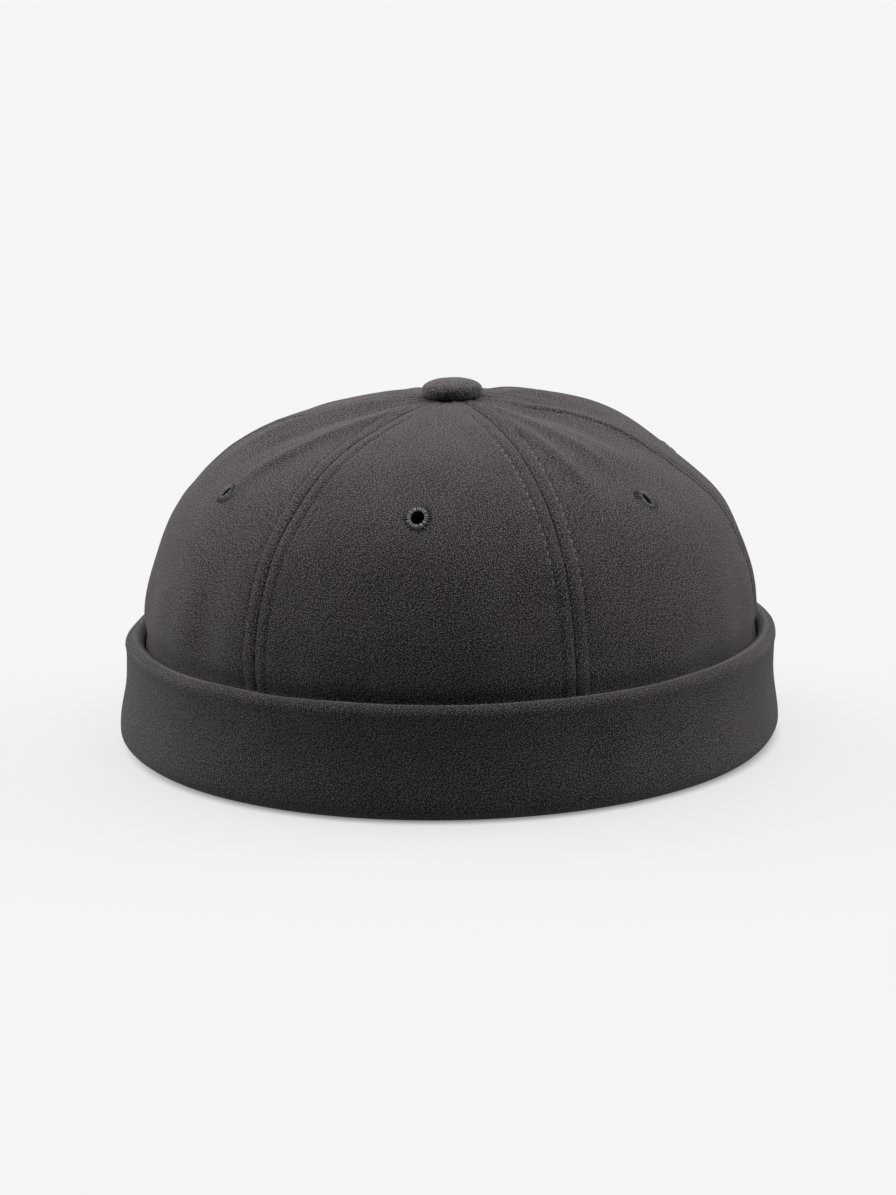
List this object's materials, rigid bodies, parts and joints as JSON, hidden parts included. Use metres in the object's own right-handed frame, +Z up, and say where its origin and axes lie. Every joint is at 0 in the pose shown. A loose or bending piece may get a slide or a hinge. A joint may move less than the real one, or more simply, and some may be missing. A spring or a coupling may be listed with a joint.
{
  "type": "docker cap",
  "caption": "Brimless cap of charcoal brushed cloth: six-panel crown with stitched eyelets, a covered button on top and a deep rolled cuff",
  "frame": {"origin": "On the floor, under the middle of the cuff's ring, at the centre of the bounding box", "axes": "+Z is up through the button; the front panel faces -Y; +X is to the right as the front is viewed"},
  "size_m": [0.2023, 0.2019, 0.1106],
  "materials": {
    "crown_cloth": "matte brushed, short suede-like nap",
    "cuff_cloth": "matte brushed, short suede-like nap",
    "button_cloth": "matte brushed, short suede-like nap",
    "eyelet_thread": "satin thread"
  },
  "bodies": {
    "root": {"panel_front": "crown_cloth", "panel_front_right": "crown_cloth", "panel_back_right": "crown_cloth", "panel_back": "crown_cloth", "panel_back_left": "crown_cloth", "panel_front_left": "crown_cloth", "eyelet_front": "eyelet_thread", "eyelet_front_right": "eyelet_thread", "eyelet_back_right": "eyelet_thread", "eyelet_back": "eyelet_thread", "eyelet_back_left": "eyelet_thread", "eyelet_front_left": "eyelet_thread", "cuff": "cuff_cloth", "button": "button_cloth"}
  },
  "joints": []
}
